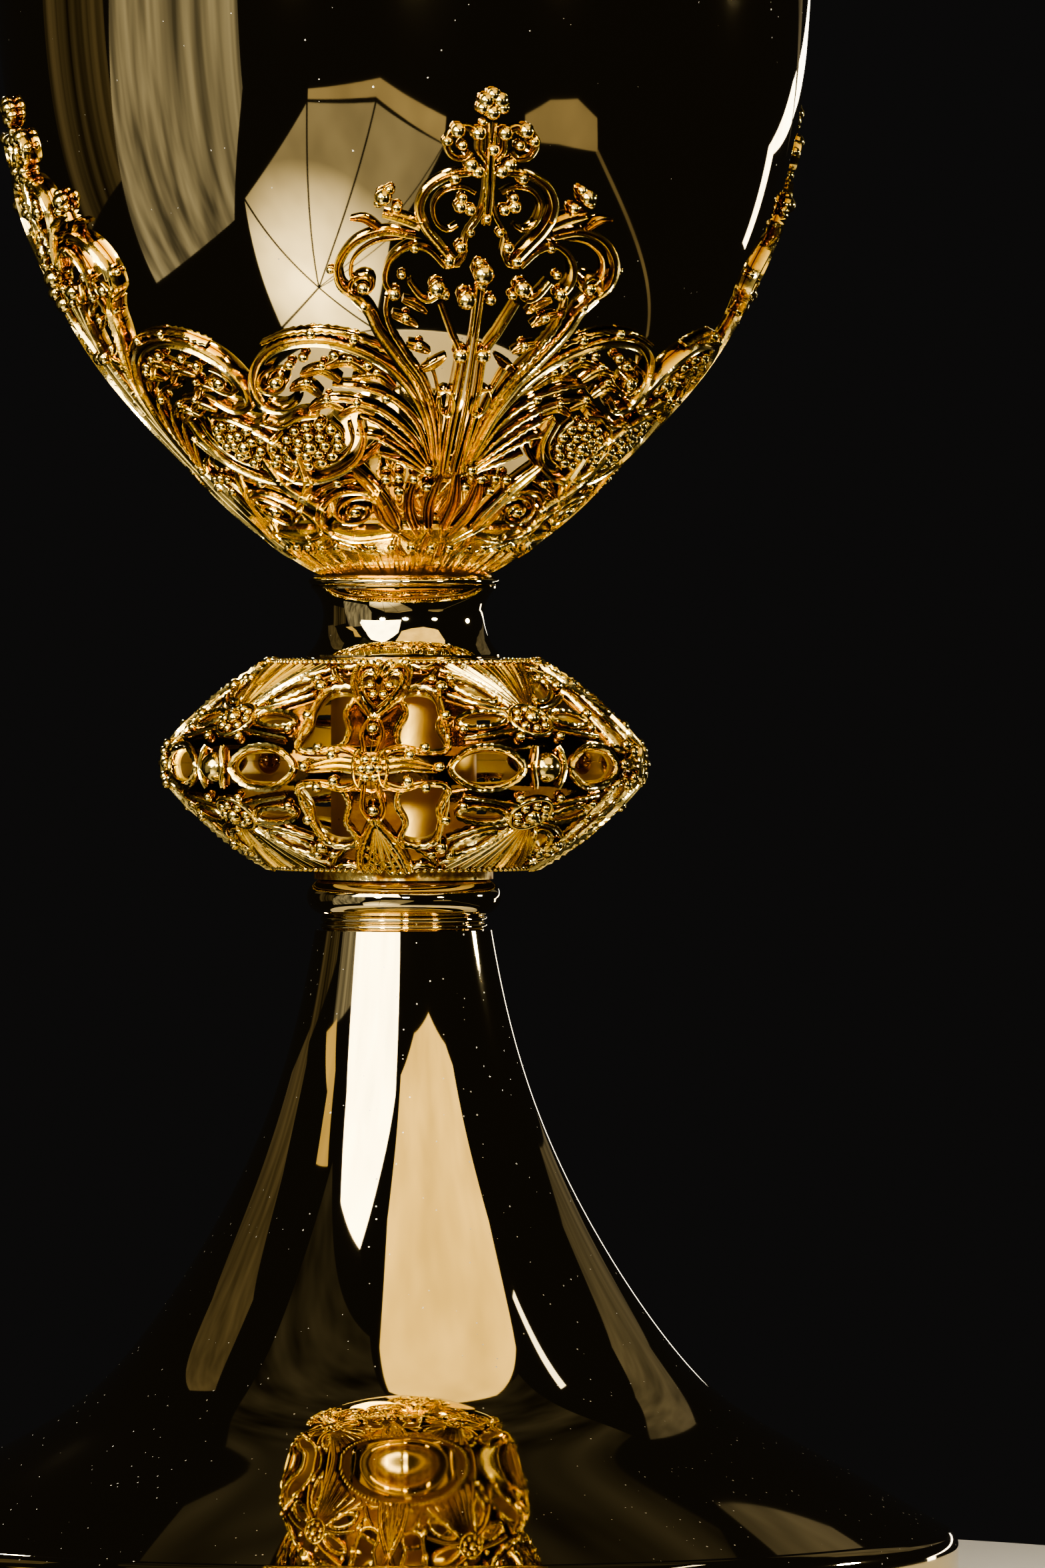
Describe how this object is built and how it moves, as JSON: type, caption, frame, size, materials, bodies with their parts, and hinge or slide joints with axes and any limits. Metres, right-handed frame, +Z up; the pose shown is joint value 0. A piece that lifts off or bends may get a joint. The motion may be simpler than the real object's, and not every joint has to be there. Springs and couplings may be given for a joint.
{
  "type": "ciborium",
  "caption": "Lidded ciborium: polished gilt cup held in an openwork calyx, on a reel neck, an openwork lozenge knob and a wide trumpet foot; the lid lifts off.",
  "frame": {"origin": "on the vertical axis, on the plane that the foot stands on", "axes": "+Z up along the axis of the vessel, -Y towards the viewer"},
  "size_m": [0.1524, 0.1524, 0.309],
  "materials": {
    "polished_gold": "mirror-polished pale gilt",
    "cast_gold": "bright cast gilt with dark amber recesses",
    "rough_gold": "rough matt gilt",
    "bare_brass": "plain machined brass"
  },
  "bodies": {
    "vessel": {"foot_shell": "polished_gold", "foot_rim_band": "polished_gold", "clamp_washer": "bare_brass", "stem_nut": "bare_brass", "tie_rod": "bare_brass", "bead_ring": "polished_gold", "torus_collar": "polished_gold", "lower_seat_ring": "rough_gold", "knob_bottom_plate": "polished_gold", "knob_top_plate": "polished_gold", "knob_inner_tube": "polished_gold", "knob_lower_shell": "cast_gold", "knob_upper_shell": "cast_gold", "knob_ball_beads": "cast_gold", "knob_node_mounts": "cast_gold", "neck_ring": "polished_gold", "reel_neck": "polished_gold", "calyx_seat_ring": "polished_gold", "calyx": "cast_gold", "cup_bowl": "polished_gold", "cup_boss": "bare_brass", "cup_lip_ring": "polished_gold"},
    "lid": {"lid_shell": "polished_gold", "lid_locating_ring": "polished_gold", "lid_edge_wire": "polished_gold", "lid_gallery": "cast_gold", "lid_plinth": "polished_gold", "lid_knop": "polished_gold", "lid_stud_washer": "bare_brass", "lid_stud_nut": "bare_brass", "lid_stud": "bare_brass", "lid_cross": "cast_gold"}
  },
  "joints": [
    {"name": "lid_lift", "type": "slide", "parent": "vessel", "child": "lid", "axis": [0, 0, 1], "range_m": [0, 0.06]}
  ]
}
